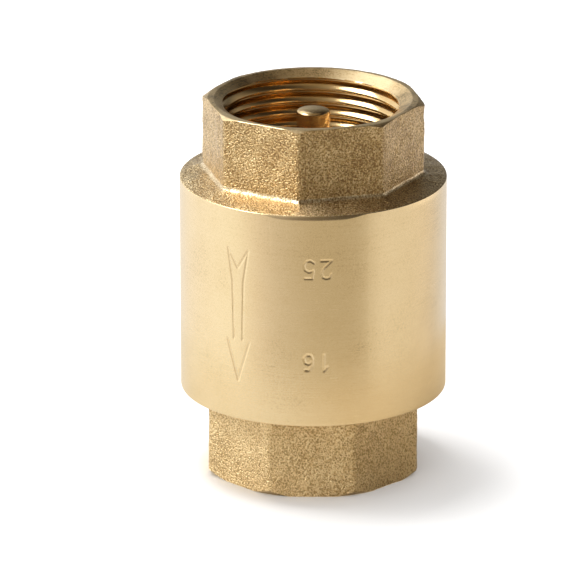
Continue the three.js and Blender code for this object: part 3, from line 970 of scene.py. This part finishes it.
add_piece(build_body(), "body", "valve_body")
add_piece(build_end_connector(), "end_connector", "valve_body")
add_piece(build_o_ring(), "body_o_ring", "valve_body")
inlet_rim = ring_profile(12.4, 13.9, 50.5, 53.3)
inlet_spider = build_guide("inlet_spider", inlet_rim, INLET_HUB, 2.4, INLET_ARM)
add_piece(inlet_spider, "inlet_guide", "valve_body")
add_piece(build_bush("inlet_sleeve", INLET_HUB, True), "inlet_guide_bush", "valve_body")
outlet_rim = ring_profile(17.9, 21.3, 26.9, 29.1)
outlet_spider = build_guide("outlet_spider", outlet_rim, OUTLET_HUB, 2.8, OUTLET_ARM)
add_piece(outlet_spider, "outlet_guide", "valve_body")
add_piece(build_bush("outlet_sleeve", OUTLET_HUB, False), "outlet_guide_bush", "valve_body")
add_piece(build_washer("spring_washer", "spring_seat", 5.4), "spring_seat", "valve_body")
spring = add_piece(build_spring(), "spring", "valve_body")
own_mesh(spring)
add_piece(build_stem(), "stem", "poppet")
add_piece(build_retainer(), "seal_retainer", "poppet")
add_piece(build_seal(), "disc_seal", "poppet")
add_piece(build_disc(), "disc", "poppet")
add_piece(build_washer("tab_washer", "lock_washer", STACK_BORE), "lock_washer", "poppet")
add_piece(build_nut(), "disc_nut", "poppet")


# ---- Floor, surroundings, lights and camera, in metres ----

FLOOR = (0.95, 0.95, 0.95)
# The patch is a dimmer copy of the floor, seen only in the brass (painted shade); its right colour, darker and
# warmer, paints the valve's shadow and warm bounced light there.
PATCH_DIMMED_LEFT, PATCH_PAINTED_SHADOW_RIGHT = (0.60, 0.59, 0.56), (0.56, 0.49, 0.38)
FLOOR_REACH, PATCH_RADIUS, PATCH_HEIGHT = 1.2, 0.085, 0.0001
BLEND_WIDTH = 0.06  # over which a plate's colour turns from one to the other


def flat_plate(name, points, height, left_colour, right_colour):
    """A flat plate whose colour turns from one to the other under the valve, from its left to its right; on
    the patch this paints a shadow on the right.
    """
    mesh = bpy.data.meshes.new(name)
    mesh.from_pydata([(x, y, height) for x, y in points], [], [list(range(len(points)))])
    plate = bpy.data.objects.new(name, mesh)
    bpy.context.scene.collection.objects.link(plate)
    material, n = new_material(name)
    across = n.add("ShaderNodeSeparateXYZ", inputs={0: object_point(n)}).outputs[0]
    share = n.math("MULTIPLY_ADD", across, 1 / BLEND_WIDTH, 0.5)
    colour = n.ramp(share, [(0, left_colour), (1, right_colour)])
    finish_material(n, **{"Base Color": colour, "Roughness": 0.9})
    mesh.materials.append(material)
    return plate


def build_floor():
    """The pale floor, and a dimmer patch of it close by that only the brass mirrors: painted shade, with a
    painted shadow on its right.
    """
    corners = [(x * FLOOR_REACH, y * FLOOR_REACH) for x, y in ((-1, -1), (1, -1), (1, 1), (-1, 1))]
    floor = flat_plate("studio_floor", corners, 0, FLOOR, FLOOR)
    floor.visible_glossy = False
    rim = [(PATCH_RADIUS * math.cos(angle), PATCH_RADIUS * math.sin(angle)) for angle in around(64)]
    patch = flat_plate("floor_patch", rim, PATCH_HEIGHT, PATCH_DIMMED_LEFT, PATCH_PAINTED_SHADOW_RIGHT)
    patch.visible_camera = False
    patch.visible_shadow = False
    patch.visible_diffuse = False
    return floor


# What the brass mirrors, by direction from the viewer's side towards the viewer's right, in degrees.
SKY = 2.0  # strength of the surroundings, so that a colour may be brighter than 1
LOW_SKY = [
    (-180, (1.0, 1.0, 1.0)), (-125, (1.08, 1.1, 1.15)), (-70, (1.12, 1.14, 1.12)),
    (-57, (1.0, 0.97, 0.93)), (-46, (0.86, 0.81, 0.77)), (-33, (0.74, 0.70, 0.65)),
    (-20, (0.66, 0.61, 0.53)), (-7, (0.62, 0.565, 0.47)), (6, (0.58, 0.525, 0.42)),
    (32, (0.57, 0.515, 0.415)), (45, (0.60, 0.55, 0.46)), (52, (0.82, 0.78, 0.70)),
    (60, (0.93, 0.90, 0.85)), (82, (0.88, 0.85, 0.79)), (112, (0.745, 0.705, 0.66)),
    (128, (0.705, 0.68, 0.68)), (142, (0.80, 0.82, 0.90)), (180, (1.0, 1.0, 1.0)),
]
MIDDLE_SKY = [
    (-180, (0.36, 0.36, 0.34)), (-165, (0.60, 0.60, 0.58)), (-148, (1.2, 1.2, 1.18)),
    (-125, (1.2, 1.2, 1.18)), (-62, (1.2, 1.2, 1.16)), (-48, (1.1, 1.07, 1.02)),
    (-34, (0.50, 0.46, 0.42)), (-15, (0.20, 0.17, 0.14)), (30, (0.10, 0.09, 0.07)),
    (60, (0.12, 0.11, 0.09)), (85, (0.18, 0.16, 0.13)), (100, (0.30, 0.27, 0.22)),
    (128, (0.30, 0.27, 0.23)), (148, (0.12, 0.12, 0.11)), (168, (0.20, 0.20, 0.19)),
    (180, (0.36, 0.36, 0.34)),
]
HIGH_SKY = [
    (-180, (0.12, 0.11, 0.10)), (-155, (0.35, 0.34, 0.32)), (-135, (0.9, 0.88, 0.85)),
    (-55, (1.0, 0.97, 0.92)), (-30, (0.38, 0.34, 0.28)), (0, (0.18, 0.15, 0.11)),
    (30, (0.08, 0.065, 0.05)), (60, (0.04, 0.03, 0.02)), (150, (0.04, 0.03, 0.02)),
    (180, (0.12, 0.11, 0.10)),
]
ZENITH = (0.15, 0.12, 0.08, 1)
MIX_BELOW, MIX_ABOVE, MIX_RESULT = 6, 7, 2  # the colour sockets of a Mix node


def horizon_gain(side):
    """How much brighter the surroundings are at the horizon than under it."""
    return 1 + 2.1 * window(side - 118, 12, 30) + 0.35 * window(side + 150, 30, 60)


HORIZON_SKY = [(side, tuple(c * horizon_gain(side) for c in colour)) for side, colour in LOW_SKY]


def surroundings():
    """Plain white for the camera and the floor, and a studio with dark and bright sides for the brass."""
    world = bpy.data.worlds.new("studio")
    world.use_nodes = True
    world.node_tree.nodes.clear()
    n = Nodes(world.node_tree)
    where = n.add("ShaderNodeTexCoord").outputs["Generated"]
    way = n.add("ShaderNodeSeparateXYZ", inputs={0: where}).outputs
    turn = n.math("ARCTAN2", way[0], n.math("MULTIPLY", way[1], -1.0))
    turn = n.math("MULTIPLY_ADD", turn, 1 / TAU, 0.5)

    def row(colours):
        stops = [((side + 180) / 360, tuple(c / SKY for c in colour)) for side, colour in colours]
        return n.ramp(turn, stops)

    def blend(below, above, start, stop):
        limits = {"Value": way[2], "From Min": start, "From Max": stop}
        rise = n.add("ShaderNodeMapRange", inputs=limits).outputs[0]
        colours = {"Factor": rise, MIX_BELOW: below, MIX_ABOVE: above}
        return n.add("ShaderNodeMix", data_type="RGBA", inputs=colours).outputs[MIX_RESULT]

    colour = blend(row(LOW_SKY), row(HORIZON_SKY), -0.29, -0.20)
    colour = blend(colour, row(MIDDLE_SKY), -0.10, 0.06)
    colour = blend(colour, row(HIGH_SKY), 0.40, 0.70)
    colour = blend(colour, ZENITH, 0.85, 0.98)
    shown = n.add("ShaderNodeBackground", inputs={"Color": (1, 1, 1, 1), "Strength": 0.95})
    mirrored = n.add("ShaderNodeBackground", inputs={"Color": colour, "Strength": SKY})
    path = n.add("ShaderNodeLightPath").outputs
    plain = n.math("MAXIMUM", path["Is Camera Ray"], path["Is Diffuse Ray"])
    both = n.add("ShaderNodeMixShader", inputs={0: plain, 1: mirrored.outputs[0], 2: shown.outputs[0]})
    n.add("ShaderNodeOutputWorld", inputs={"Surface": both.outputs[0]})
    bpy.context.scene.world = world


MIDDLE = (0, 0, 0.034)  # what the lights and the camera point at


def area_light(name, place, size, power, receivers):
    """A soft box that lights only the objects in one collection."""
    light = bpy.data.lights.new(name, "AREA")
    light.shape = "RECTANGLE"
    light.size, light.size_y = size
    light.energy = power
    obj = bpy.data.objects.new(name, light)
    obj.location = place
    obj.rotation_euler = (Vector(MIDDLE) - Vector(place)).to_track_quat("-Z", "Y").to_euler()
    obj.light_linking.receiver_collection = receivers
    bpy.context.scene.collection.objects.link(obj)


def linked_collection(name, objects):
    """A collection that only says what a light reaches."""
    collection = bpy.data.collections.new(name)
    for obj in objects:
        collection.objects.link(obj)
    return collection


def add_camera():
    """A long lens from the viewer's side, looking down a little, with the valve just right of the middle."""
    distance, elevation = 1.2, math.radians(19.13)
    camera = bpy.data.cameras.new("camera")
    camera.sensor_width = 36
    camera.lens = 417.76166
    camera.shift_x = -0.041105354
    camera.shift_y = -0.0131260794
    camera.clip_end = 10
    obj = bpy.data.objects.new("camera", camera)
    obj.location = (0, -distance * math.cos(elevation), MIDDLE[2] + distance * math.sin(elevation))
    obj.rotation_euler = (math.pi / 2 - elevation, 0, 0)
    bpy.context.scene.collection.objects.link(obj)
    bpy.context.scene.camera = obj


floor = build_floor()
surroundings()
on_valve = linked_collection("lit_valve", [o for o in bpy.data.objects if o.type == "MESH" and o != floor])
on_floor = linked_collection("lit_floor", [floor])
area_light("key", (-0.45, -0.06, 0.54), (0.4, 0.4), 4, on_valve)
area_light("back_window", (-0.235, 0.376, 0.554), (0.3, 0.34), 0.33, on_valve)
area_light("floor_wash", (-0.24, 0.17, 0.91), (0.4, 0.4), 6.5, on_floor)
add_camera()
bpy.context.scene.view_settings.view_transform = "Standard"
